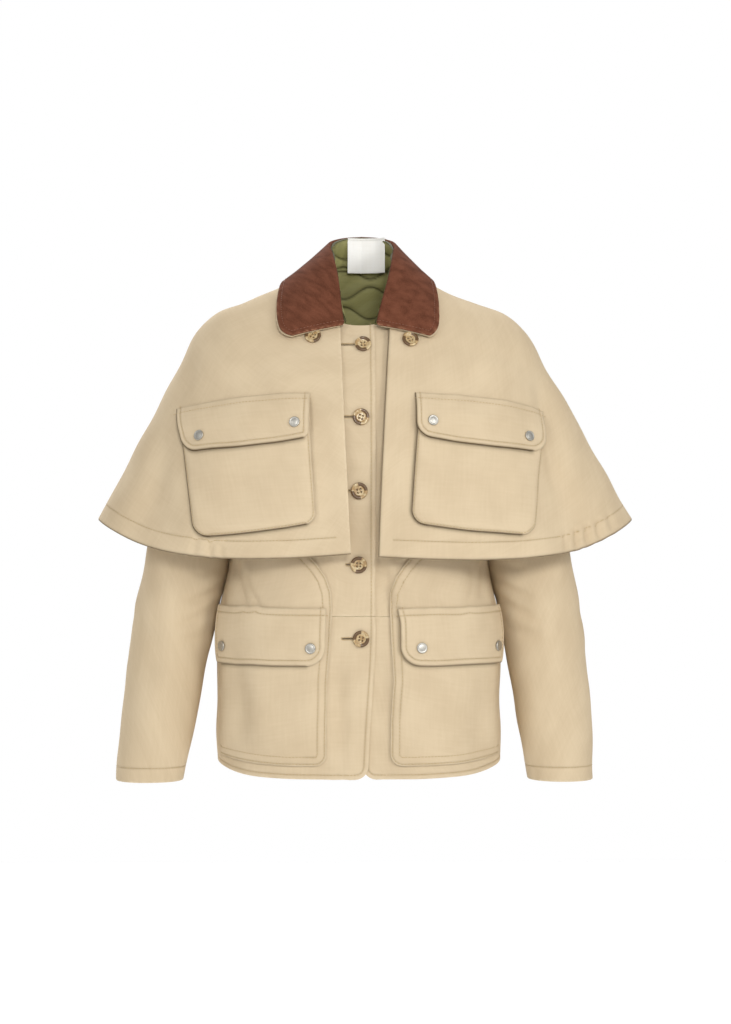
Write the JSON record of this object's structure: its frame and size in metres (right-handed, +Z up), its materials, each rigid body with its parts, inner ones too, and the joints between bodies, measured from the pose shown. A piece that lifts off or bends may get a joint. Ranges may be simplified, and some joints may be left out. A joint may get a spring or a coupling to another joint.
{
  "type": "cape jacket",
  "caption": "Hip-length canvas jacket with a buttoned-on shoulder cape, suede collar, snapped flap pockets and quilted lining, hollow and filled out as if worn.",
  "frame": {"origin": "middle of the base of the wearer's neck, level with the side neck points of the jacket", "axes": "+Z up, the front faces -Y, the wearer's left is +X"},
  "size_m": [0.682, 0.3138, 0.6971],
  "materials": {
    "cotton_canvas": "matt tan cotton canvas",
    "brown_suede": "napped brown suede",
    "olive_quilting": "olive lining quilted in waves",
    "horn": "polished marbled horn",
    "nickel": "satin nickel plate",
    "woven_label": "plain white woven tape"
  },
  "bodies": {
    "root": {"back": "cotton_canvas", "button_1": "horn", "button_2": "horn", "button_3": "horn", "button_4": "horn", "button_5": "horn", "cape_back": "cotton_canvas", "cape_button_left": "horn", "cape_button_right": "horn", "cape_flap_left": "cotton_canvas", "cape_flap_right": "cotton_canvas", "cape_front_left": "cotton_canvas", "cape_front_right": "cotton_canvas", "cape_pocket_left": "cotton_canvas", "cape_pocket_right": "cotton_canvas", "cape_snap_left_inner": "nickel", "cape_snap_left_outer": "nickel", "cape_snap_right_inner": "nickel", "cape_snap_right_outer": "nickel", "collar": "brown_suede", "collar_stand": "olive_quilting", "front_left_lower": "cotton_canvas", "front_left_upper": "cotton_canvas", "front_right_lower": "cotton_canvas", "front_right_upper": "cotton_canvas", "hip_flap_left": "cotton_canvas", "hip_flap_right": "cotton_canvas", "hip_pocket_left": "cotton_canvas", "hip_pocket_right": "cotton_canvas", "hip_snap_left_inner": "nickel", "hip_snap_left_outer": "nickel", "hip_snap_right_inner": "nickel", "hip_snap_right_outer": "nickel", "label": "woven_label", "lining_back": "olive_quilting", "lining_front_left": "olive_quilting", "lining_front_right": "olive_quilting", "sleeve_left": "cotton_canvas", "sleeve_right": "cotton_canvas", "under_collar": "cotton_canvas"}
  },
  "joints": []
}
